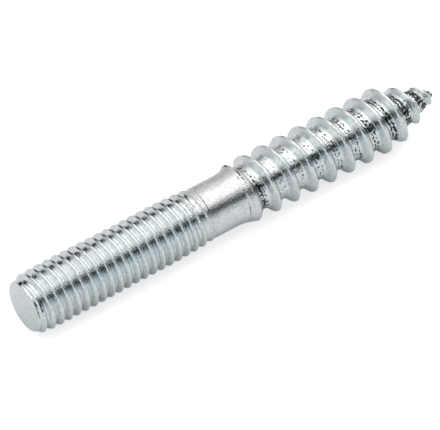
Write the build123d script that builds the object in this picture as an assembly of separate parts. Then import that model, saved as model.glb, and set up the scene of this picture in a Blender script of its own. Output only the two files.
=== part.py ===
from build123d import *
import math
import os

# Hanger bolt: one rolled steel rod, with a machine thread on one end, a plain shank in the
# middle and a coarse wood-screw thread with a gimlet point on the other end.
# It is worked out upright about Z, machine end at the bottom, and laid down along +X at the end.
# All lengths are millimetres and all angles degrees. Both threads are right-handed.
# Each thread is skinned turn by turn with ruled strips that run from root to crest and back.

# Whole bolt: an M8, whose threads and shank all hang on the nominal diameter
overall_length = 61.5
nominal_diameter = 8.0
shank_reduction = 0.95          # the plain shank is this much under the nominal diameter

# Machine thread
machine_allowance = 0.13        # the crests are this much under the nominal diameter
machine_depth = 0.70            # from crest to root
machine_pitch = 1.25
machine_shoulder_width = 0.70   # ridge's width halfway up, which rounds its crest
machine_crest_at = 2.14         # height of a crest on the crest angle's side
machine_thread_length = 27.2    # up to where the crests have sunk into the shank
machine_runout_length = 2.5     # crests sink into the shank over this length
machine_fade = 0.22             # crests have lost this much height where the run-out starts
machine_fade_length = 9.5       # and lose it over this length before the run-out
end_crest_drop = 0.285          # crests are this much lower where they meet the flat end
machine_taper_length = 3.4      # and rise to full height over this length from it
end_edge_drop = 0.675           # the end's rounded edge starts this far inside the crests
end_edge_width = 0.26
end_edge_length = 0.25
end_chamfer_length = 1.2        # cone that cuts the first crest off

# Wood thread
plain_length = 3.6              # clear shank between the machine thread and the flared lip
wood_allowance = 0.35           # the crests are this much over the nominal diameter
wood_depth = 1.075              # from crest to root
wood_pitch = 2.80
wood_root_width = 1.65
wood_crest_offset = 0.73        # a crest's height over the flare's start, on the lip's low side
wood_rise_length = 2.8          # crests rise from the shank to full height over this length
core_step_offset = 0.6          # shank starts to step down to the wood core here
core_step_length = 0.7

# Flared lip that closes the first turn of the wood thread
flare_length = 2.4
lip_offset = 1.60               # lip's slanting face over the flare's start, at the axis
lip_depth = 5.0                 # the lip's block reaches this far back, inside the flare
lip_slant = 9.5                 # slant of that face, which follows the first crest
lip_slant_angle = 126.4         # direction in which the face falls towards the shank

# Gimlet point
core_taper_length = 8.6         # length over which the core narrows to the point
core_point_diameter = 0.50
crest_taper_length = 7.2        # length over which the crests narrow to the point
crest_point_diameter = 1.30
nose_length = 0.35              # blunt nose beyond the last crest
nose_diameter = 0.45

# How the skin is made
crest_angle = 306.4             # direction in which the crests' heights are given
points_per_turn = 12            # of the smooth curves that the strips run between
sink = 0.15                     # a buried end of a thread or cone lies this deep in its neighbour
turns_below = 4                 # the machine thread starts this far below the first crest

flare_start = machine_thread_length + plain_length
runout_start = machine_thread_length - machine_runout_length
shank_radius = (nominal_diameter - shank_reduction) / 2
machine_crest = (nominal_diameter - machine_allowance) / 2
machine_root = machine_crest - machine_depth
wood_crest = (nominal_diameter + wood_allowance) / 2
wood_root = wood_crest - wood_depth


def turned(outline):
    """Solid turned about Z from its half outline, given as (radius, height) points."""
    return revolve(Plane.XZ * make_face(Polyline(*outline, close=True)), Axis.Z)


def graded(table, height):
    """Value at a height, on straight lines through a table of (height, value) rows."""
    for (low, value), (high, next_value) in zip(table, table[1:]):
        if height < high:
            return value + (next_value - value) * max(0, height - low) / (high - low)
    return table[-1][1]


def wound(pitch, angle, low, rise, radii):
    """One right-handed turn of a thread line, from low + rise up, as a smooth curve.

    Its radius is graded without the rise, so the lines of a turn grow and shrink together.
    """
    def point(turn):
        height = low + pitch * turn
        radius = graded(radii, height)
        around = math.radians(angle) + 2 * math.pi * turn
        return Vector(radius * math.cos(around), radius * math.sin(around), height + rise)

    step = 1e-4
    turns = [number / points_per_turn for number in range(points_per_turn + 1)]
    tangents = [(point(turn + step) - point(turn - step)) / (2 * step) for turn in (0, 1)]
    points = [point(turn) for turn in turns]
    return Edge.make_spline(points, tangents=tangents, parameters=turns, scale=False)


def threaded(pitch, angle, low, high, lines):
    """Threaded rod from a low to a high height, solid down to its axis.

    Each of its lines is (rise above low, table of radii). The strips of one turn run between
    the lines in order and on to the first line of the next turn. At each end a winding floor
    and a flat wall run from the first or last turn to the axis.
    """
    turns = math.ceil((high - low) / pitch)
    curves = [
        wound(pitch, angle, low + number * pitch, rise, radii)
        for number in range(turns)
        for rise, radii in lines
    ]
    curves.append(wound(pitch, angle, low + turns * pitch, *lines[0]))
    faces = [Face.make_surface_from_curves(a, b) for a, b in zip(curves, curves[1:])]
    first, last = curves[0], curves[-1]
    first_wall = [curve @ 0 for curve in curves[:len(lines)]] + [first @ 1]
    last_wall = [last @ 0] + [curve @ 1 for curve in curves[-len(lines):]]
    for curve, wall in ((first, first_wall), (last, last_wall)):
        foot = Vector(0, 0, (curve @ 0).Z)
        head = Vector(0, 0, (curve @ 1).Z)
        faces.append(Face.make_surface_from_curves(curve, Edge.make_line(foot, head)))
        faces.append(Face(Wire.make_polygon([foot, *wall, head], close=True)))
    return Solid(Shell(faces))


def machine_thread():
    """Machine thread, from below the flat end up into the shank."""
    crests = [
        (0, machine_crest - end_crest_drop),
        (machine_taper_length, machine_crest),
        (runout_start - machine_fade_length, machine_crest),
        (runout_start, machine_crest - machine_fade),
        (machine_thread_length, shank_radius - sink / 2),
    ]
    roots = [
        (runout_start - machine_pitch, machine_root),
        (machine_thread_length, machine_root - sink),
    ]
    heights = sorted({height for height, _ in crests + roots})
    shoulders = [(height, (graded(crests, height) + graded(roots, height)) / 2) for height in heights]
    shoulder = machine_shoulder_width / 2
    low = machine_crest_at - turns_below * machine_pitch
    return threaded(machine_pitch, crest_angle, low, machine_thread_length, [
        (0, crests),
        (shoulder, shoulders),
        (machine_pitch / 2, roots),
        (machine_pitch - shoulder, shoulders),
    ])


def wood_thread():
    """Wood thread, from inside the shank up past the point."""
    crests = [
        (flare_start, shank_radius - sink),
        (flare_start + wood_rise_length, wood_crest),
        (overall_length - crest_taper_length, wood_crest),
        (overall_length - nose_length, crest_point_diameter / 2),
        (overall_length + wood_pitch, nose_diameter / 2),
    ]
    roots = [
        (overall_length - core_taper_length, wood_root),
        (overall_length - nose_length, core_point_diameter / 2),
        (overall_length + wood_pitch, core_point_diameter / 2 - sink),
    ]
    low = flare_start + wood_crest_offset - wood_pitch / 2
    flank = (wood_pitch - wood_root_width) / 2
    return threaded(wood_pitch, crest_angle, low, overall_length,
                    [(0, crests), (flank, roots), (wood_pitch - flank, roots)])


def shank():
    """Plain shank, with a cone under the machine run-out and a step down to the wood core."""
    step_start = flare_start + core_step_offset
    step_end = step_start + core_step_length
    return turned([
        (0, runout_start - machine_pitch),
        (machine_root - sink, runout_start - machine_pitch),
        (shank_radius, machine_thread_length),
        (shank_radius, step_start),
        (wood_root - sink, step_end),
        (0, step_end),
    ])


def lip():
    """Flare that ends in a slanting face, so that the first turn closes on itself."""
    slanted = Plane((0, 0, flare_start + lip_offset)) * Rot(0, 0, lip_slant_angle) * Rot(0, lip_slant, 0)
    block = slanted * Pos(0, 0, -lip_depth / 2) * Cylinder(2 * wood_crest, lip_depth)
    flare = turned([
        (0, flare_start),
        (shank_radius, flare_start),
        (wood_crest, flare_start + flare_length),
        (0, flare_start + flare_length),
    ])
    return block & flare


def outer_line():
    """Room that the bolt stays inside: it cuts the threads off at the flat end and the nose."""
    room = 2 * wood_crest
    end_edge = machine_crest - end_edge_drop
    return turned([
        (0, 0),
        (end_edge - end_edge_width, 0),
        (end_edge, end_edge_length),
        (machine_crest, end_chamfer_length),
        (room, end_chamfer_length),
        (room, overall_length - crest_point_diameter),
        (crest_point_diameter / 2, overall_length - nose_length),
        (nose_diameter / 2, overall_length),
        (0, overall_length),
    ])


bolt = (machine_thread() + shank() + lip() + wood_thread()) & outer_line()

# Laid down: axis along +X, middle of the length at x = 0, lowest crest on z = 0
rest_height = max(machine_crest, wood_crest)
hanger_bolt = Pos(0, 0, rest_height) * Rot(0, 90, 0) * Pos(0, 0, -overall_length / 2) * bolt

os.makedirs("parts", exist_ok=True)
export_step(hanger_bolt, "parts/hanger_bolt.step")
print(f"hanger_bolt {hanger_bolt.volume:.1f} mm3")
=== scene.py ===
"""Looks, light and camera for the hanger bolt, built in the frame of its CAD part.

Lengths in the dataclasses are millimetres along the bolt from its flat end, or radii from its
axis, unless a name says otherwise. They become metres where the mesh is made. A turn is a
direction round the axis, as a share of a whole turn from the crest angle: 0 points forwards and
down, 0.25 backwards and down, 0.5 backwards and up, and 0.75 forwards and up, at the camera.
"""

import logging
import math
from dataclasses import dataclass
from enum import Enum
from typing import Dict, Sequence, Tuple, Union

import bpy
import numpy as np
from mathutils import Matrix, Vector


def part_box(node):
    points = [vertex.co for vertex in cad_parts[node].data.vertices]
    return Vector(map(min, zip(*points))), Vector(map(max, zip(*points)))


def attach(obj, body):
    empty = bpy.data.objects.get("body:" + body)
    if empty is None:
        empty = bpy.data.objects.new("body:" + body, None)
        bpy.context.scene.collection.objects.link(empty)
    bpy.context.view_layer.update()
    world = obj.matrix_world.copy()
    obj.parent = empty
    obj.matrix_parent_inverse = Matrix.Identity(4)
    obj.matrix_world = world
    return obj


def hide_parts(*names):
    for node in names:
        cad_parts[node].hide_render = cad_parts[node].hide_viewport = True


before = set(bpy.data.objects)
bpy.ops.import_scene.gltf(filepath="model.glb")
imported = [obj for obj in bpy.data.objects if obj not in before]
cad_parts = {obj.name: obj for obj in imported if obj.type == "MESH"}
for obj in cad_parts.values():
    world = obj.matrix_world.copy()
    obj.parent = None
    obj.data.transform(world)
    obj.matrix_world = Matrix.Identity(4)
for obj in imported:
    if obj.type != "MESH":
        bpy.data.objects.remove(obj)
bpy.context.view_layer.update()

LOG = logging.getLogger("hanger_bolt")
MM = 0.001
FULL_TURN = 2 * math.pi
NODE = "hanger_bolt"
# Places of the colour sockets on a Mix node
MIX_BASE, MIX_OVER, MIX_RESULT = 6, 7, 2

Table = Sequence[Tuple[float, float]]
Colour = Tuple[float, float, float]
Tree = bpy.types.NodeTree
Socket = bpy.types.NodeSocket


class Ray(Enum):
    """Kinds of light path that a stage material tells apart."""

    CAMERA = "Is Camera Ray"
    GLOSSY = "Is Glossy Ray"
    TRANSMISSION = "Is Transmission Ray"


class Maths(Enum):
    """What a maths node does with its inputs."""

    ADD = "ADD"
    ARCTAN2 = "ARCTAN2"
    MAXIMUM = "MAXIMUM"
    MULTIPLY = "MULTIPLY"
    MULTIPLY_ADD = "MULTIPLY_ADD"
    WRAP = "WRAP"


class Seed(Enum):
    """Numbers that pick the directions of each kind of unevenness."""

    ROLLED = 3
    DENTS = 5
    TIP = 7
    FLAKES = 9
    BURR = 11


def along(table: Table, places: np.ndarray) -> np.ndarray:
    """Straight-line value of a (place, value) table at each place."""
    xs, ys = zip(*table)
    return np.interp(places, xs, ys)


def rise(places: np.ndarray, zero_at: float, one_at: float) -> np.ndarray:
    """Straight line from 0 at one place to 1 at another, held level beyond both."""
    return np.clip((places - zero_at) / (one_at - zero_at), 0, 1)


def bell(places: np.ndarray, centre: Union[float, np.ndarray], width: float) -> np.ndarray:
    """Bell curve: e to the minus square of the distance from the centre over the width."""
    return np.exp(-(((places - centre) / width) ** 2))


def near(turn: np.ndarray, centre: float, width: float) -> np.ndarray:
    """Bell curve round a direction, with its centre and width as shares of a turn."""
    return bell(np.mod(turn - centre + 0.5, 1.0) - 0.5, 0.0, width)


def crest_phase(row_turn: np.ndarray) -> np.ndarray:
    """Turns from the nearest crest, -0.5 to 0.5."""
    return row_turn - np.round(row_turn)


def smooth_max(a: np.ndarray, b: np.ndarray, fillet: Union[float, np.ndarray]) -> np.ndarray:
    """Larger of two heights, with a fillet where they cross.

    Args:
        a: First height.
        b: Second height.
        fillet: Softness of the corner, in the unit of the heights.

    Returns:
        Half the sum plus half the root of the squared difference plus the squared fillet.
    """
    return 0.5 * (a + b + np.sqrt((a - b) ** 2 + fillet**2))


def waves(x: np.ndarray, y: np.ndarray, z: np.ndarray, size: float, seed: Seed) -> np.ndarray:
    """Smooth noise between about -1 and 1: a sum of sine waves in random directions.

    Args:
        x: First coordinate.
        y: Second coordinate.
        z: Third coordinate.
        size: Typical width of a bump, in the unit of the coordinates.
        seed: What picks the directions.

    Returns:
        Noise value at each point.
    """
    rng = np.random.default_rng(seed.value)
    total = np.zeros_like(x)
    count = 14
    shortest, longest = 0.6, 1.4
    for _ in range(count):
        way = rng.normal(size=3)
        way *= math.pi / size * rng.uniform(shortest, longest) / np.linalg.norm(way)
        total += np.sin(way[0] * x + way[1] * y + way[2] * z + rng.uniform(0, FULL_TURN))
    return total / math.sqrt(count)


def make_mesh(name: str, points: np.ndarray, triangles: np.ndarray,
              layers: Dict[str, np.ndarray]) -> bpy.types.Mesh:
    """Smooth-shaded triangle mesh from arrays.

    Args:
        name: Mesh name.
        points: Vertex positions in metres, one row each.
        triangles: Vertex numbers, three to a row.
        layers: Values of each named attribute at each vertex.

    Returns:
        The mesh.
    """
    mesh = bpy.data.meshes.new(name)
    mesh.vertices.add(len(points))
    mesh.vertices.foreach_set("co", points.astype(np.float32).ravel())
    mesh.loops.add(triangles.size)
    mesh.loops.foreach_set("vertex_index", triangles.astype(np.int32).ravel())
    mesh.polygons.add(len(triangles))
    mesh.polygons.foreach_set("loop_start", np.arange(0, triangles.size, 3, dtype=np.int32))
    mesh.polygons.foreach_set("use_smooth", np.ones(len(triangles), dtype=bool))
    for layer, values in layers.items():
        data = mesh.attributes.new(layer, "FLOAT", "POINT").data
        data.foreach_set("value", values.astype(np.float32))
    mesh.update(calc_edges=True)
    mesh.validate()
    return mesh


def feed(tree: Tree, socket: Socket, value: Union[Socket, float, Tuple[float, ...]]) -> None:
    """Links a socket to another one, or sets it to a number or a colour.

    Args:
        tree: Node tree that holds the sockets.
        socket: Input socket.
        value: What it is linked or set to.
    """
    if isinstance(value, bpy.types.NodeSocket):
        tree.links.new(value, socket)
    else:
        socket.default_value = value


def math_node(tree: Tree, operation: Maths, *values: Union[Socket, float]) -> Socket:
    """Result of a maths node.

    Args:
        tree: Node tree that the node joins.
        operation: What the node does.
        values: Its inputs in order, each a socket or a number.

    Returns:
        Socket with the result.
    """
    node = tree.nodes.new("ShaderNodeMath")
    node.operation = operation.value
    for socket, value in zip(node.inputs, values):
        feed(tree, socket, value)
    return node.outputs["Value"]


def ramp(tree: Tree, value: Socket, low: float, high: float,
         start: float = 0.0, end: float = 1.0) -> Socket:
    """Value that runs along a straight line and is held level beyond both ends.

    Args:
        tree: Node tree that the node joins.
        value: Input.
        low: Input at which the line starts.
        high: Input at which it ends.
        start: Result at the low input.
        end: Result at the high input.

    Returns:
        Socket with the result.
    """
    node = tree.nodes.new("ShaderNodeMapRange")
    node.inputs["From Min"].default_value = low
    node.inputs["From Max"].default_value = high
    node.inputs["To Min"].default_value = start
    node.inputs["To Max"].default_value = end
    tree.links.new(value, node.inputs["Value"])
    return node.outputs["Result"]


def mix(tree: Tree, factor: Socket, base: Union[Socket, Colour], over: Colour) -> Socket:
    """Colour that goes from a base to a flat colour.

    Args:
        tree: Node tree that the node joins.
        factor: Share of the flat colour, 0 to 1.
        base: Colour at 0, as a socket or a flat colour.
        over: Colour at 1.

    Returns:
        Socket with the colour.
    """
    node = tree.nodes.new("ShaderNodeMix")
    node.data_type = "RGBA"
    tree.links.new(factor, node.inputs["Factor"])
    if isinstance(base, tuple):
        base = (*base, 1.0)
    feed(tree, node.inputs[MIX_BASE], base)
    node.inputs[MIX_OVER].default_value = (*over, 1.0)
    return node.outputs[MIX_RESULT]


def noise(tree: Tree, place: Socket, scale: float, detail: float) -> Socket:
    """Noise texture's value.

    Args:
        tree: Node tree that the node joins.
        place: Coordinates in metres.
        scale: Bumps per metre.
        detail: Levels of finer bumps laid over them.

    Returns:
        Socket with the value.
    """
    node = tree.nodes.new("ShaderNodeTexNoise")
    node.inputs["Scale"].default_value = scale
    node.inputs["Detail"].default_value = detail
    tree.links.new(place, node.inputs["Vector"])
    return node.outputs["Fac"]


def attribute(tree: Tree, name: str) -> Socket:
    """Value of one of the mesh's attributes.

    Args:
        tree: Node tree that the node joins.
        name: Name of the attribute.

    Returns:
        Socket with the value.
    """
    node = tree.nodes.new("ShaderNodeAttribute")
    node.attribute_name = name
    return node.outputs["Fac"]


@dataclass(frozen=True)
class Spot:
    """Soft spot on the bolt: a strength times a bell curve along it and one round it."""

    at: float
    length: float
    turn: float
    width: float
    strength: float = 1.0

    def value(self, place: np.ndarray, turn: np.ndarray) -> np.ndarray:
        """Value of the spot at each place and turn."""
        return self.strength * bell(place, self.at, self.length) * near(turn, self.turn, self.width)


@dataclass(frozen=True)
class MachineThread:
    """Rolled machine thread: a round ridge that fades in at the end and sinks into the shank."""

    lead: float = 1.25
    crest_at: float = 2.14
    end: float = 26.9
    flank_slope: float = 0.577
    crest_round: float = 0.22
    fillet: float = 0.10            # of the root, as a share of the thread's depth
    crests: Table = (
        (0.20, 3.34), (0.89, 3.76), (2.14, 3.90), (3.40, 3.93), (9.0, 3.93), (12.0, 3.88),
        (14.5, 3.84), (18.0, 3.86), (21.0, 3.86), (24.4, 3.71), (25.9, 3.54), (26.9, 3.46),
    )
    roots: Table = ((0.20, 3.32), (0.70, 3.24), (24.0, 3.22), (25.9, 3.38), (26.9, 3.46))

    # Fine lines that the rolling leaves on the run-out, and the deeper one where it ends
    line_depth: float = 0.035
    line_sharpness: int = 8
    line_pitch: float = 0.31
    line_start: float = 22.6
    line_rise: float = 1.0
    line_fall: float = 0.25
    last_line_at: float = 26.08
    last_line_depth: float = 0.07
    last_line_width: float = 0.08

    # Dark marks: patches near the flat end, painted shade along the run-out's grooves, and a spot of painted
    # shade in the last line's groove
    end_patches: Tuple[Spot, ...] = (
        Spot(0.20, 0.10, 0.82, 0.06, 1.4),
        Spot(0.68, 0.13, 0.79, 0.07, 1.7),
        Spot(0.40, 0.20, 0.60, 0.02, 1.3),
    )
    groove_shade_start: float = 22.4
    groove_shade_turn: float = 0.68
    groove_shade_width: float = 0.07
    groove_shade_strength: float = 1.05
    groove_shade_sharpness: int = 4
    last_groove_shade: Spot = Spot(26.08, 0.09, 0.74, 0.10, 1.15)

    def lined(self, place: np.ndarray, start: float) -> np.ndarray:
        """Share of the run-out's lines: a straight rise at the start and a fall at the end."""
        return rise(place, start, start + self.line_rise) * rise(place, self.end, self.end - self.line_fall)

    def radius(self, place: np.ndarray, phase: np.ndarray) -> np.ndarray:
        """Radius of the thread.

        Args:
            place: Distance from the flat end.
            phase: Turns from the nearest crest, -0.5 to 0.5.

        Returns:
            Larger of the root radius and a ridge that falls from the crest radius along straight
            flanks, with the crest rounded as a hyperbola and the root filleted, less the fine
            lines, which are a power of a cosine, and the bell-shaped last line.
        """
        crest = along(self.crests, place)
        root = along(self.roots, place)
        off = np.sqrt((phase * self.lead) ** 2 + self.crest_round**2) - self.crest_round
        ridge = smooth_max(crest - off / self.flank_slope, root, self.fillet * (crest - root))
        lines = np.cos(math.pi * place / self.line_pitch) ** self.line_sharpness
        last = bell(place, self.last_line_at, self.last_line_width)
        lined = self.lined(place, self.line_start)
        return ridge - self.line_depth * lined * lines - self.last_line_depth * last

    def dark(self, place: np.ndarray, turn: np.ndarray) -> np.ndarray:
        """Strength of the dark marks and of the painted shade.

        Args:
            place: Distance from the flat end.
            turn: Direction round the axis.

        Returns:
            Sum of the dark patches near the flat end, of the painted shade in the last line's groove, and of
            the painted shade in the run-out's grooves, which is a power of a cosine in a bell-shaped band
            along the bolt.
        """
        # Painted shade in the run-out's grooves, in a band on one side of the axis
        band = self.lined(place, self.groove_shade_start) * near(turn, self.groove_shade_turn, self.groove_shade_width)
        lines = np.cos(math.pi * place / self.line_pitch) ** self.groove_shade_sharpness * band
        # Dark patches near the flat end, and painted shade in the last line's groove
        spots = sum(spot.value(place, turn) for spot in (*self.end_patches, self.last_groove_shade))
        return spots + self.groove_shade_strength * lines


@dataclass(frozen=True)
class Lip:
    """Slanting lip of folded steel that closes the first turn of the wood thread."""

    crease: float = 31.35
    ring: float = 32.32
    swing: Tuple[float, float, float] = (0.40, 0.05, 0.03)
    flare: Table = ((30.2, 3.45), (31.35, 3.60))
    height: float = 3.98
    height_swing: float = 0.10
    back_slope: float = 0.95

    # Ripples along the rise, on one side of the axis
    ripple: float = 0.05
    ripple_pitch: float = 0.40
    ripple_turn: float = 0.66
    ripple_width: float = 0.12
    ripple_rise: float = 0.25

    # Folded line along the crease, and painted shade at its bottom
    fold: Spot = Spot(31.35, 0.11, 0.87, 0.12, 0.12)
    fold_shade: Spot = Spot(31.35, 0.10, 0.86, 0.06)

    # Burr on the ring, and torn steel beside it
    burr: Spot = Spot(31.85, 0.40, 0.525, 0.045)
    burr_height: float = 0.24
    burr_size: float = 0.25
    burr_middle: float = 0.4
    burr_highest: float = 1.5
    burr_dark: float = 1.2
    torn: Spot = Spot(31.85, 0.45, 0.68, 0.07, 1.3)
    torn_pitch: float = 0.38

    def radius(self, place: np.ndarray, turn: np.ndarray) -> np.ndarray:
        """Radius of the lip.

        Args:
            place: Distance from the flat end.
            turn: Direction round the axis.

        Returns:
            Flare up to a crease, then a straight rise to a sharp ring whose place and height
            change round the axis, and a straight fall behind the ring, less the ripples, which
            are the absolute value of a sine, and less the bell-shaped fold.
        """
        around = FULL_TURN * turn
        one, side, two = self.swing
        ring = self.ring + one * np.cos(around) + side * np.sin(around) + two * np.cos(2 * around)
        top = self.height + self.height_swing * np.cos(around)
        start = along(self.flare, place)
        climb = start + (top - start) * np.clip((place - self.crease) / (ring - self.crease), 0, None)
        fall = top - (place - ring) / self.back_slope
        rippled = rise(place, self.crease, self.crease + self.ripple_rise)
        rippled = rippled * near(turn, self.ripple_turn, self.ripple_width)
        ripples = self.ripple * rippled * np.abs(np.sin(math.pi * (place - ring) / self.ripple_pitch))
        return np.minimum(climb, fall) - ripples - self.fold.value(place, turn)

    def burr_relief(self, place: np.ndarray, turn: np.ndarray, y: np.ndarray, z: np.ndarray) -> np.ndarray:
        """Height of the burr.

        Args:
            place: Distance from the flat end.
            turn: Direction round the axis.
            y: Distance from the axis backwards.
            z: Distance from the axis upwards.

        Returns:
            The burr's spot times noise that is cut off at zero and at its highest.
        """
        ragged = self.burr_middle + waves(place, y, z, self.burr_size, Seed.BURR)
        return self.burr_height * self.burr.value(place, turn) * np.clip(ragged, 0, self.burr_highest)

    def dark(self, place: np.ndarray, turn: np.ndarray) -> np.ndarray:
        """Strength of the dark marks and of the painted shade.

        Args:
            place: Distance from the flat end.
            turn: Direction round the axis.

        Returns:
            Sum of the painted shade in the fold, of the burr, and of the torn steel, which is a squared
            cosine.
        """
        torn = self.torn.value(place, turn) * np.cos(math.pi * place / self.torn_pitch) ** 2
        # The fold's share is painted shade in the crease
        return self.fold_shade.value(place, turn) + torn + self.burr_dark * self.burr.value(place, turn)


@dataclass(frozen=True)
class WoodThread:
    """Coarse wood thread, whose crests grow out of the lip and narrow to the point."""

    lead: float = 2.80
    crest_at: float = 35.68
    start: float = 30.8
    near_slope: float = 0.40
    wide_slope: float = 0.42        # added to the near slope round one side of the axis
    wide_turn: float = 0.99
    wide_width: float = 0.12
    far_slope: float = 0.44
    crest_round: float = 0.34
    fillet: float = 0.12            # of the root, as a share of the thread's depth
    crests: Table = (
        (30.8, 3.12), (33.0, 3.12), (34.1, 4.16), (54.0, 4.172), (55.2, 3.75), (56.3, 3.20),
        (58.0, 2.52), (59.0, 2.05), (60.75, 1.15), (61.5, 0.52),
    )
    roots: Table = (
        (30.8, 3.12), (52.9, 3.12), (56.7, 2.20), (58.8, 1.62), (60.4, 0.98), (61.15, 0.52), (61.5, 0.38),
    )

    # Pits, as strengths: in all, in the roots, more of these further on, at the foot, at the tip
    pits: float = 0.35
    pits_rise: float = 2.0
    root_pits: float = 0.40
    root_pits_more: float = 0.22
    root_pits_from: float = 33.0
    root_pits_rise: float = 1.0
    more_from: float = 34.0
    more_rise: float = 18.0
    root_phase: float = 0.42
    root_width: float = 0.11
    foot_pits: float = 0.50
    foot_at: float = 33.30
    foot_swing: float = 0.40
    foot_length: float = 0.45
    tip_pits: float = 0.42

    def radius(self, place: np.ndarray, phase: np.ndarray, turn: np.ndarray) -> np.ndarray:
        """Radius of the thread.

        Args:
            place: Distance from the flat end.
            phase: Turns from the nearest crest, -0.5 to 0.5.
            turn: Direction round the axis.

        Returns:
            Larger of the root radius and a ridge with a round crest, filleted at the root. Its
            flank on the flat end's side is gentler round one side of the axis.
        """
        crest = along(self.crests, place)
        root = along(self.roots, place)
        near_slope = self.near_slope + self.wide_slope * near(turn, self.wide_turn, self.wide_width)
        slope = np.where(phase < 0, near_slope, self.far_slope)
        off = np.sqrt((phase * self.lead) ** 2 + self.crest_round**2) - self.crest_round
        return smooth_max(crest - off / slope, root, self.fillet * (crest - root))

    def present(self, place: np.ndarray) -> np.ndarray:
        """Share of the wood thread's dented and pitted surface: a straight rise where the thread starts."""
        return rise(place, self.start, self.start + self.pits_rise)

    def dark(self, place: np.ndarray, phase: np.ndarray, turn: np.ndarray, tip: np.ndarray) -> np.ndarray:
        """Strength of the pits.

        Args:
            place: Distance from the flat end.
            phase: Turns from the nearest crest, -0.5 to 0.5.
            turn: Direction round the axis.
            tip: Share of the point's wear, 0 to 1.

        Returns:
            Sum of the pits in all, in a bell-shaped strip along each side of the roots, in a
            slanting ring at the thread's foot, and at the tip, times the share of the surface.
        """
        rooted = rise(place, self.root_pits_from, self.root_pits_from + self.root_pits_rise)
        more = rise(place, self.more_from, self.more_from + self.more_rise)
        strips = bell(np.abs(phase), self.root_phase, self.root_width) * rooted
        ring = bell(place, self.foot_at + self.foot_swing * np.cos(FULL_TURN * turn), self.foot_length)
        pits = self.pits + (self.root_pits + self.root_pits_more * more) * strips
        return self.present(place) * (pits + self.foot_pits * ring + self.tip_pits * tip)


@dataclass(frozen=True)
class EndFace:
    """Flat end with a soft rim."""

    flat_radius: float = 3.00
    rim_depth: float = 0.20
    rim_turns: float = 0.40
    face_turns: float = 1.20


@dataclass(frozen=True)
class Nose:
    """Blunt nose of the point, and the way the point leans off the axis."""

    start: float = 61.15
    turns: float = 0.50
    lean: Table = ((40.0, 0.0), (48.0, 0.08), (54.0, 0.17), (61.5, 0.20))


@dataclass(frozen=True)
class Wear:
    """Unevenness of the rolled surface, as heights and sizes of bumps."""

    rolled: float = 0.006
    rolled_size: float = 0.9
    dents: float = 0.03
    dent_size: float = 0.35
    tip_start: float = 52.5
    tip: float = 0.08
    tip_size: float = 0.55
    tip_highest: float = 0.2
    flakes: float = 0.035
    flake_size: float = 0.22
    flake_highest: float = 0.3
    fade_radius: float = 1.0        # the bumps fade out over this radius at the poles
    fade_length: float = 0.5        # and over this length at the flat end

    def height(self, place: np.ndarray, y: np.ndarray, z: np.ndarray, woody: np.ndarray,
               tip: np.ndarray) -> np.ndarray:
        """Height of the bumps.

        Args:
            place: Distance from the flat end.
            y: Distance from the axis backwards.
            z: Distance from the axis upwards.
            woody: Share of the wood thread's dented and pitted surface, 0 to 1.
            tip: Share of the point's wear, 0 to 1.

        Returns:
            Sum of the rolled surface's noise, of dents, which are the part of their noise below
            zero, and of the tip's wear and flakes, which are cut off at their highest.
        """
        bump = self.rolled * waves(place, y, z, self.rolled_size, Seed.ROLLED)
        bump += self.dents * woody * np.minimum(waves(place, y, z, self.dent_size, Seed.DENTS), 0)
        worn = np.minimum(waves(place, y, z, self.tip_size, Seed.TIP), self.tip_highest)
        flaked = np.minimum(waves(place, y, z, self.flake_size, Seed.FLAKES), self.flake_highest)
        return bump + tip * (self.tip * worn + self.flakes * flaked)

    def fade(self, place: np.ndarray, radius: np.ndarray) -> np.ndarray:
        """Share of the bumps that is left near the axis and near the flat end."""
        return rise(radius, 0.0, self.fade_radius) * rise(place, 0.0, self.fade_length)


@dataclass(frozen=True)
class Polish:
    """Where the plating is bluish and where it is satin, both from 0 to 1."""

    blue_end: float = 25.6          # bluish on the machine thread, up to here
    blue_fall: float = 1.5
    blue_start: float = 33.0        # and on the wood thread, from here on
    blue_rise: float = 1.0
    shank: float = 0.25
    tip: float = 0.50
    band_turn: float = 0.60         # a satin band runs along the shank and the wood thread
    band_width: float = 0.05
    band_start: float = 25.0
    band_loss: float = 0.15         # and is this much weaker on the wood thread

    def wood(self, place: np.ndarray) -> np.ndarray:
        """Share of the wood thread's finish: a straight rise past the lip."""
        return rise(place, self.blue_start, self.blue_start + self.blue_rise)

    def blue(self, place: np.ndarray) -> np.ndarray:
        """Share of the bluish tint: all of it on both threads and none on the shank."""
        return rise(place, self.blue_end, self.blue_end - self.blue_fall) + self.wood(place)

    def satin(self, place: np.ndarray, turn: np.ndarray, tip: np.ndarray) -> np.ndarray:
        """Share of the satin finish.

        Args:
            place: Distance from the flat end.
            turn: Direction round the axis.
            tip: Share of the point's wear, 0 to 1.

        Returns:
            Sum of the shank's, the tip's and the band's share, at most 1.
        """
        band = (1.0 - self.band_loss * self.wood(place)) * (place > self.band_start)
        band = band * near(turn, self.band_turn, self.band_width)
        return np.clip((1.0 - self.blue(place)) * self.shank + self.tip * tip + band, 0, 1)


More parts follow.
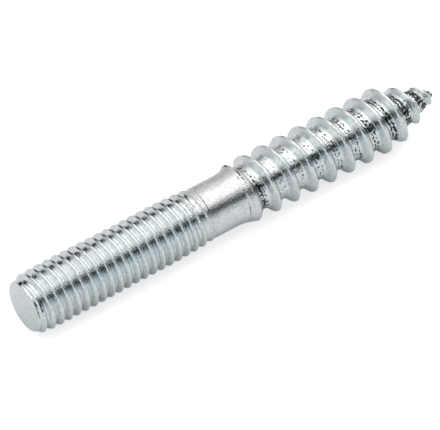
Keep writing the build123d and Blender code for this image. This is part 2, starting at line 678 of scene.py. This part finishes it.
@dataclass(frozen=True)
class BrightZinc:
    """Finish: bright zinc plating, cool and slightly uneven, with dark specks in pitted places and painted
    shade in grooves and creases.
    """

    name: str = "bright_zinc"
    colour: Colour = (0.71, 0.755, 0.78)
    blue: Colour = (0.71, 0.78, 0.80)
    # Colour of the dark specks and of the painted shade
    speck_and_shade_colour: Colour = (0.03, 0.045, 0.05)
    roughness: float = 0.11
    satin: float = 0.55             # roughness where the finish is satin
    detail: float = 3.0             # levels of finer bumps in clouds, streaks and grain
    cloud_scale: float = 2400.0     # bumps per metre, like the other scales
    cloud_from: float = 0.36
    cloud_to: float = 0.62
    cloudiness: float = 0.84        # brightness of the darkest clouds
    speck_scale: float = 3200.0
    speck_detail: float = 1.0
    speck_and_shade_from: float = 1.34        # specks and painted shade start where their noise plus the mesh's speck-and-shade value is this
    speck_and_shade_to: float = 1.44
    streak_scale: float = 1100.0
    streak_squeeze: Tuple[float, float, float] = (6.0, 1.0, 1.0)
    grain_scale: float = 4200.0
    bump_distance: float = 0.00003  # metres

    def build(self) -> bpy.types.Material:
        """Makes the finish.

        Returns:
            Procedural material on object coordinates and on the mesh's speck-and-shade, blue and satin
            values.
        """
        material = bpy.data.materials.new(self.name)
        material.use_nodes = True
        tree = material.node_tree
        shader = tree.nodes["Principled BSDF"]
        shader.inputs["Metallic"].default_value = 1.0
        place = tree.nodes.new("ShaderNodeTexCoord").outputs["Object"]
        satin = ramp(tree, attribute(tree, "satin"), 0.0, 1.0, self.roughness, self.satin)
        tree.links.new(satin, shader.inputs["Roughness"])
        tree.links.new(self.base_colour(tree, place), shader.inputs["Base Color"])
        tree.links.new(self.relief(tree, place), shader.inputs["Normal"])
        return material

    def base_colour(self, tree: Tree, place: Socket) -> Socket:
        """Colour of the plating.

        Args:
            tree: The material's node tree.
            place: Object coordinates.

        Returns:
            Plain to bluish tint by the blue value, dimmed by clouds, with dark specks and painted shade laid
            over it where their noise plus the speck-and-shade value is high.
        """
        tinted = mix(tree, attribute(tree, "blue"), self.colour, self.blue)
        clouds = noise(tree, place, self.cloud_scale, self.detail)
        clouded = tree.nodes.new("ShaderNodeVectorMath")
        clouded.operation = "SCALE"
        tree.links.new(tinted, clouded.inputs["Vector"])
        brightness = ramp(tree, clouds, self.cloud_from, self.cloud_to, self.cloudiness, 1.0)
        tree.links.new(brightness, clouded.inputs["Scale"])
        specks = noise(tree, place, self.speck_scale, self.speck_detail)
        # The mesh's value carries the dark specks and the painted shade in the run-out's grooves and the
        # lip's crease
        pushed = math_node(tree, Maths.ADD, specks, attribute(tree, "specks_and_shade"))
        shown = ramp(tree, pushed, self.speck_and_shade_from, self.speck_and_shade_to)
        return mix(tree, shown, clouded.outputs["Vector"], self.speck_and_shade_colour)

    def relief(self, tree: Tree, place: Socket) -> Socket:
        """Normal of the fine relief.

        Args:
            tree: The material's node tree.
            place: Object coordinates.

        Returns:
            Normal bumped by streaks round the bolt, which are noise squeezed along its axis,
            plus grain.
        """
        around = tree.nodes.new("ShaderNodeMapping")
        around.inputs["Scale"].default_value = self.streak_squeeze
        tree.links.new(place, around.inputs["Vector"])
        streaks = noise(tree, around.outputs["Vector"], self.streak_scale, self.detail)
        grain = noise(tree, place, self.grain_scale, self.detail)
        bump = tree.nodes.new("ShaderNodeBump")
        bump.inputs["Strength"].default_value = 1.0
        bump.inputs["Distance"].default_value = self.bump_distance
        tree.links.new(math_node(tree, Maths.ADD, streaks, grain), bump.inputs["Height"])
        return bump.outputs["Normal"]


@dataclass
class Grid:
    """Vertices of the grid that winds round the bolt, as arrays by row and column.

    turn_at is a vertex's turn count along the bolt, row_turn that of its row at the first column,
    and turn its direction round the axis. The numbers are the turn counts at which the bolt
    starts, its rim ends, its nose starts and the bolt ends.
    """

    turn_at: np.ndarray
    row_turn: np.ndarray
    turn: np.ndarray
    first: float
    rim: float
    nose: float
    last: float


@dataclass
class HangerBolt:
    """The whole bolt as one closed surface on a grid that winds round it like its threads.

    Row r and column c stand for turn count r / rows_per_turn + c / columns, so that a row follows
    a crest line, and the last column of a row is the first column of the row one turn on.
    """

    machine: MachineThread = MachineThread()
    lip: Lip = Lip()
    wood: WoodThread = WoodThread()
    end_face: EndFace = EndFace()
    nose: Nose = Nose()
    wear: Wear = Wear()
    polish: Polish = Polish()
    finish: BrightZinc = BrightZinc()
    crest_angle: float = 216.4      # degrees from +Y towards +Z at which crest_at is measured
    rows_per_turn: int = 26
    columns: int = 92
    crowding: float = 0.35          # share by which rows stand closer at the crests
    blend_turns: int = 26           # whole turns between the two threads' counted crests
    blend_end: float = 33.0         # from here on rows follow the wood thread
    lip_fillet: float = 0.03        # where the wood thread meets the lip
    steps: int = 60000              # of the table that turns a turn count into a place
    pole_specks_and_shade: Tuple[float, float] = (0.0, 0.9)    # at the end face's and the nose's middle
    pole_blue: Tuple[float, float] = (1.0, 1.0)
    pole_satin: Tuple[float, float] = (0.5, 0.5)

    def length(self) -> float:
        """Length of the bolt in millimetres, from the CAD node's box."""
        low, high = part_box(NODE)
        return (high.x - low.x) / MM

    def turn_count(self, place: np.ndarray) -> np.ndarray:
        """Turns counted along the bolt.

        Args:
            place: Distance from the flat end.

        Returns:
            Straight lines with each thread's lead, joined over the shank by a cubic that has
            their slopes at its ends.
        """
        machine, wood = self.machine, self.wood
        first = (place - machine.crest_at) / machine.lead
        last = (place - wood.crest_at) / wood.lead + self.blend_turns
        span = self.blend_end - machine.end
        t = np.clip((place - machine.end) / span, 0, 1)
        low = (machine.end - machine.crest_at) / machine.lead
        high = (self.blend_end - wood.crest_at) / wood.lead + self.blend_turns
        cubic = ((1 + 2 * t) * (1 - t) ** 2 * low + t * t * (3 - 2 * t) * high
                 + t * (1 - t) ** 2 * span / machine.lead - t * t * (1 - t) * span / wood.lead)
        return np.where(place < machine.end, first, np.where(place > self.blend_end, last, cubic))

    def grid(self) -> Grid:
        """Grid that covers the bolt from its end face to its nose.

        Returns:
            Grid whose rows stand at whole parts of a turn, less the crowding over a whole turn
            in radians times the sine of their turn count, which draws them to the crests.
        """
        face, nose = self.end_face, self.nose
        rim_turn, nose_turn = self.turn_count(np.array([face.rim_depth, nose.start]))
        first = rim_turn - face.rim_turns - face.face_turns
        last = nose_turn + nose.turns
        base = math.floor(first) - 1
        rows = int(math.ceil((last - base) * self.rows_per_turn)) + 1
        row, column = np.meshgrid(np.arange(rows), np.arange(self.columns), indexing="ij")
        turn = column / self.columns
        even = base + row / self.rows_per_turn
        row_turn = even - self.crowding / FULL_TURN * np.sin(FULL_TURN * even)
        return Grid(row_turn + turn, row_turn, turn, first, rim_turn, nose_turn, last)

    def place_at(self, turn_at: np.ndarray) -> np.ndarray:
        """Distance from the flat end at each turn count, up to where the nose starts."""
        places = np.linspace(0, self.nose.start, self.steps)
        return np.interp(turn_at, self.turn_count(places), places)

    def surface(self, grid: Grid) -> Tuple[np.ndarray, np.ndarray]:
        """Place along the bolt and radius of each grid vertex.

        Args:
            grid: Grid of the bolt.

        Returns:
            Distance from the flat end, and radius. On the end face and the nose the radius runs
            to zero: along a straight line over the face, along a quarter ellipse at the rim and
            at the nose.
        """
        face, nose, turn_at = self.end_face, self.nose, grid.turn_at
        place = self.place_at(turn_at)
        phase = crest_phase(grid.row_turn)
        machine = self.machine.radius(place, phase)
        wood = self.wood.radius(place, phase, grid.turn)
        wood = smooth_max(wood, self.lip.radius(place, grid.turn), self.lip_fillet)
        middle = 0.5 * (self.machine.end + self.wood.start)
        radius = np.where(place < middle, machine, wood)

        arc = 0.5 * math.pi * np.clip((grid.rim - turn_at) / face.rim_turns, 0, 1)
        on_rim = turn_at < grid.rim
        rim_radius = face.flat_radius + (radius - face.flat_radius) * np.cos(arc)
        place = np.where(on_rim, face.rim_depth * (1 - np.sin(arc)), place)
        radius = np.where(on_rim, rim_radius, radius)
        flat = np.clip((grid.rim - face.rim_turns - turn_at) / face.face_turns, 0, 1)
        radius = radius * (1 - flat)

        arc = 0.5 * math.pi * np.clip((turn_at - grid.nose) / nose.turns, 0, 1)
        rounded = nose.start + (self.length() - nose.start) * np.sin(arc)
        place = np.where(turn_at > grid.nose, rounded, place)
        return place, radius * np.cos(arc)

    def tip(self, place: np.ndarray) -> np.ndarray:
        """Share of the point's wear: a straight rise to the very end."""
        return rise(place, self.wear.tip_start, self.length())

    def points(self, grid: Grid, place: np.ndarray, radius: np.ndarray) -> np.ndarray:
        """Vertex positions in metres in the frame.

        Args:
            grid: Grid of the bolt.
            place: Distance of each vertex from the flat end.
            radius: Radius of each vertex.

        Returns:
            One row per vertex, then the middles of the end face and of the nose. The radius and
            its bumps are turned round the axis, moved off it by the nose's lean, and held
            inside the CAD node's box.
        """
        aim = math.radians(self.crest_angle)
        angle = aim + FULL_TURN * grid.turn
        y, z = radius * np.cos(angle), radius * np.sin(angle)
        bumps = self.wear.height(place, y, z, self.wood.present(place), self.tip(place))
        bumps = bumps + self.lip.burr_relief(place, grid.turn, y, z)
        radius = radius + bumps * self.wear.fade(place, radius)
        lean = along(self.nose.lean, place)
        y = radius * np.cos(angle) + lean * math.cos(aim)
        z = radius * np.sin(angle) + lean * math.sin(aim)

        low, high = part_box(NODE)
        middle = (low + high) / 2
        room = 0.5 * (high.z - low.z)
        held = room / np.maximum(np.hypot(y, z) * MM, room)
        skin = np.stack([low.x + place * MM, middle.y + y * MM * held, middle.z + z * MM * held], -1)
        off = self.nose.lean[-1][1] * MM
        nose_middle = [high.x, middle.y + off * math.cos(aim), middle.z + off * math.sin(aim)]
        return np.concatenate([skin.reshape(-1, 3), [[low.x, middle.y, middle.z], nose_middle]])

    def triangles(self, grid: Grid) -> np.ndarray:
        """Vertex numbers of each triangle.

        Args:
            grid: Grid of the bolt.

        Returns:
            Two triangles for each cell of the grid. Vertices before the bolt's first turn are
            its end face's middle, those past the last turn are its nose's, and triangles that
            this closes up are left out. A row runs on into the first column one turn further.
        """
        rows, columns = grid.turn_at.shape
        face_middle = rows * columns
        nose_middle = face_middle + 1
        index = np.arange(rows * columns).reshape(rows, columns)
        index = np.where(grid.turn_at > grid.first, index, face_middle)
        index = np.where(grid.turn_at < grid.last, index, nose_middle)
        onward = np.full((rows, 1), nose_middle)
        onward[: rows - self.rows_per_turn, 0] = index[self.rows_per_turn:, 0]
        index = np.concatenate([index, onward], 1)
        a, b = index[:-1, :-1].ravel(), index[:-1, 1:].ravel()
        c, d = index[1:, 1:].ravel(), index[1:, :-1].ravel()
        triangles = np.concatenate([np.stack([a, b, c], 1), np.stack([a, c, d], 1)])
        closed_up = (triangles == np.roll(triangles, 1, axis=1)).any(axis=1)
        return triangles[~closed_up]

    def layers(self, grid: Grid, place: np.ndarray) -> Dict[str, np.ndarray]:
        """Values that the finish reads, from 0 to 1.

        Args:
            grid: Grid of the bolt.
            place: Distance of each vertex from the flat end.

        Returns:
            By name and in the order of the points: how thick the dark specks and the painted shade stand, how
                bluish the plating is and how satin.
        """
        turn, tip = grid.turn, self.tip(place)
        # Dark specks and pits, and painted shade in the run-out's grooves and the lip's crease
        dark = self.machine.dark(place, turn) + self.lip.dark(place, turn)
        dark = dark + self.wood.dark(place, crest_phase(grid.row_turn), turn, tip)
        return {
            "specks_and_shade": np.append(np.clip(dark, 0, 1), self.pole_specks_and_shade),
            "blue": np.append(self.polish.blue(place), self.pole_blue),
            "satin": np.append(self.polish.satin(place, turn, tip), self.pole_satin),
        }

    def mesh(self) -> bpy.types.Mesh:
        """Closed mesh of the bolt.

        Returns:
            Mesh of the vertices that its triangles use, with the values that its finish reads.
        """
        grid = self.grid()
        place, radius = self.surface(grid)
        used, triangles = np.unique(self.triangles(grid), return_inverse=True)
        points = self.points(grid, place, radius)[used]
        layers = {name: values[used] for name, values in self.layers(grid, place).items()}
        return make_mesh(NODE + "_surface", points, triangles.reshape(-1, 3), layers)

    def build(self) -> bpy.types.Object:
        """Makes, dresses and places the piece that stands for the CAD node.

        Returns:
            The piece.
        """
        mesh = self.mesh()
        mesh.materials.append(self.finish.build())
        piece = bpy.data.objects.new("hanger_bolt_surface", mesh)
        bpy.context.scene.collection.objects.link(piece)
        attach(piece, "root")
        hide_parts(NODE)
        LOG.info("%s: %d triangles", piece.name, len(mesh.polygons))
        return piece


@dataclass
class Studio:
    """White floor and a soft surrounding light with dark gaps at the back and the front."""

    floor_size: float = 6.0         # metres
    floor_colour: Colour = (0.77, 0.80, 0.82)
    glow_colour: Colour = (1.0, 0.985, 0.98)
    # The glow is weaker near the bolt: a painted shadow round it, which shows to the camera and in the metal
    floor_glow: float = 0.08
    far_glow: float = 0.35
    glow_from: float = 0.060        # metres from the bolt's middle
    glow_to: float = 0.250
    floor_lift: float = 0.56
    side_from: float = -0.50        # light from the flat end's side takes over from here
    side_to: float = -0.85
    side_light: Colour = (0.80, 0.82, 0.82)
    # Light of the surroundings by angle in degrees round the bolt's axis: 0 at the back
    # horizon, 90 overhead, 180 at the front horizon, and -90 and 270 both underneath
    lowest: float = -90.0
    highest: float = 270.0
    bands: Tuple[Tuple[float, Colour], ...] = (
        (0.0, (0.84, 0.80, 0.78)), (4.0, (0.78, 0.75, 0.74)), (7.0, (0.10, 0.11, 0.11)),
        (10.0, (0.01, 0.015, 0.015)), (26.0, (0.01, 0.015, 0.015)), (32.0, (0.35, 0.34, 0.34)),
        (38.0, (1.00, 0.94, 0.91)), (46.0, (1.46, 1.36, 1.30)), (54.0, (1.64, 1.52, 1.46)),
        (100.0, (1.60, 1.50, 1.45)), (107.0, (1.42, 1.32, 1.28)), (113.0, (1.10, 1.03, 1.00)),
        (119.0, (0.74, 0.70, 0.69)), (125.0, (0.38, 0.38, 0.38)), (130.0, (0.12, 0.13, 0.13)),
        (135.0, (0.02, 0.03, 0.03)), (144.0, (0.02, 0.03, 0.03)), (150.0, (0.18, 0.20, 0.21)),
        (156.0, (0.43, 0.45, 0.47)), (162.0, (0.65, 0.67, 0.69)), (168.0, (0.77, 0.78, 0.80)),
        (180.0, (0.79, 0.80, 0.82)), (270.0, (0.78, 0.80, 0.81)),
    )

    def brightest(self) -> float:
        """Highest value in the bands, which is the world's strength."""
        return max(max(light) for _, light in self.bands)

    def dimmed(self, light: Colour) -> Colour:
        """Light as a share of the world's strength.

        Args:
            light: Light to be shown.

        Returns:
            Each of its values over the strength, so that none is above 1.
        """
        red, green, blue = light
        top = self.brightest()
        return red / top, green / top, blue / top

    def band_light(self, tree: Tree, height: Socket, depth: Socket) -> Socket:
        """Light of the bands in each direction.

        Args:
            tree: The world's node tree.
            height: Direction's part upwards.
            depth: Direction's part backwards.

        Returns:
            Colour by the angle round the bolt's axis, whose tangent is height over depth.
        """
        lowest, highest = math.radians(self.lowest), math.radians(self.highest)
        # The angle comes as -180 to 180 degrees, so what is below the lowest is moved up a turn
        angle = math_node(tree, Maths.ARCTAN2, height, depth)
        turned = math_node(tree, Maths.WRAP, angle, highest, lowest)
        colours = tree.nodes.new("ShaderNodeValToRGB")
        tree.links.new(ramp(tree, turned, lowest, highest), colours.inputs["Fac"])
        stops = colours.color_ramp.elements
        levels = ((self.lowest, self.bands[-1][1]), *self.bands)
        for number, (degrees, light) in enumerate(levels):
            place = (degrees - self.lowest) / (self.highest - self.lowest)
            # The ramp comes with two stops
            stop = stops[number] if number < 2 else stops.new(place)
            stop.position = place
            stop.color = (*self.dimmed(light), 1)
        return colours.outputs["Color"]

    def build_world(self) -> None:
        """World whose light depends on direction, and which the camera sees as white."""
        world = bpy.data.worlds.new("studio")
        bpy.context.scene.world = world
        world.use_nodes = True
        tree = world.node_tree
        background = tree.nodes["Background"]
        parts = tree.nodes.new("ShaderNodeSeparateXYZ")
        tree.links.new(tree.nodes.new("ShaderNodeTexCoord").outputs["Generated"], parts.inputs[0])
        bands = self.band_light(tree, parts.outputs["Z"], parts.outputs["Y"])
        side = ramp(tree, parts.outputs["X"], self.side_from, self.side_to)
        sided = mix(tree, side, bands, self.dimmed(self.side_light))
        path = tree.nodes.new("ShaderNodeLightPath")
        seen = mix(tree, path.outputs[Ray.CAMERA.value], sided, self.dimmed((1.0, 1.0, 1.0)))
        tree.links.new(seen, background.inputs["Color"])
        background.inputs["Strength"].default_value = self.brightest()
        LOG.info("world: %d bands of light", len(self.bands))

    def floor_finish(self) -> bpy.types.Material:
        """Matt pale floor with a glow.

        Returns:
            Material whose glow rises with the distance from the bolt, which paints a shadow round the bolt,
            and shows to the camera, in metal and through glass. A lift on top of it shows to the camera
            alone, so that the floor reads as white and the bolt gets no light from the lift.
        """
        material = bpy.data.materials.new("floor")
        material.use_nodes = True
        tree = material.node_tree
        shader = tree.nodes["Principled BSDF"]
        shader.inputs["Base Color"].default_value = (*self.floor_colour, 1)
        shader.inputs["Roughness"].default_value = 1.0
        shader.inputs["Specular IOR Level"].default_value = 0.0
        shader.inputs["Emission Color"].default_value = (*self.glow_colour, 1)
        away = tree.nodes.new("ShaderNodeVectorMath")
        away.operation = "LENGTH"
        tree.links.new(tree.nodes.new("ShaderNodeTexCoord").outputs["Object"], away.inputs[0])
        # Weaker glow near the bolt paints a shadow round it
        glow = ramp(tree, away.outputs["Value"], self.glow_from, self.glow_to, self.floor_glow, self.far_glow)
        path = tree.nodes.new("ShaderNodeLightPath")
        camera = path.outputs[Ray.CAMERA.value]
        showing = camera
        for ray in (Ray.GLOSSY, Ray.TRANSMISSION):
            showing = math_node(tree, Maths.MAXIMUM, showing, path.outputs[ray.value])
        shown = math_node(tree, Maths.MULTIPLY, showing, glow)
        strength = math_node(tree, Maths.MULTIPLY_ADD, camera, self.floor_lift, shown)
        tree.links.new(strength, shader.inputs["Emission Strength"])
        return material

    def build_floor(self) -> bpy.types.Object:
        """Makes the square floor under the bolt.

        Returns:
            The floor.
        """
        half = self.floor_size / 2
        corners = [(-half, -half, 0), (half, -half, 0), (half, half, 0), (-half, half, 0)]
        mesh = bpy.data.meshes.new("floor")
        mesh.from_pydata(corners, [], [(0, 1, 2, 3)])
        mesh.materials.append(self.floor_finish())
        floor = bpy.data.objects.new("floor", mesh)
        bpy.context.scene.collection.objects.link(floor)
        LOG.info("floor: %.1f m", self.floor_size)
        return floor


@dataclass
class View:
    """Camera: where the bolt's flat end stands in its view, and the way it looks."""

    end_right: float = -23.74
    end_down: float = 11.19
    distance: float = 750.0
    heading: Tuple[float, float, float] = (0.391, 0.546, -0.741)
    lens: float = 507.6
    sensor: float = 36.0
    nearest: float = 0.01           # metres, like the farthest
    farthest: float = 50.0

    def build(self) -> bpy.types.Object:
        """Makes the camera, held level and looking down at the bolt from in front.

        Returns:
            The camera.
        """
        low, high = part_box(NODE)
        end = Vector((low.x, (low.y + high.y) / 2, (low.z + high.z) / 2))
        forward = Vector(self.heading).normalized()
        right = forward.cross(Vector((0, 0, 1))).normalized()
        up = right.cross(forward)
        place = end - (self.end_right * right - self.end_down * up + self.distance * forward) * MM
        data = bpy.data.cameras.new("camera")
        data.lens = self.lens
        data.sensor_width = self.sensor
        data.dof.use_dof = False
        data.clip_start = self.nearest
        data.clip_end = self.farthest
        camera = bpy.data.objects.new("camera", data)
        turn = Matrix((right, up, -forward)).transposed().to_4x4()
        camera.matrix_world = Matrix.Translation(place) @ turn
        bpy.context.scene.collection.objects.link(camera)
        bpy.context.scene.camera = camera
        LOG.info("camera: %.0f mm lens", self.lens)
        return camera


def main() -> None:
    """Builds the bolt, then the stage, light and camera."""
    logging.basicConfig(level=logging.INFO, format="%(name)s %(message)s")
    HangerBolt().build()
    studio = Studio()
    studio.build_floor()
    studio.build_world()
    View().build()
    bpy.context.scene.view_settings.view_transform = "Standard"


if __name__ == "__main__":
    main()
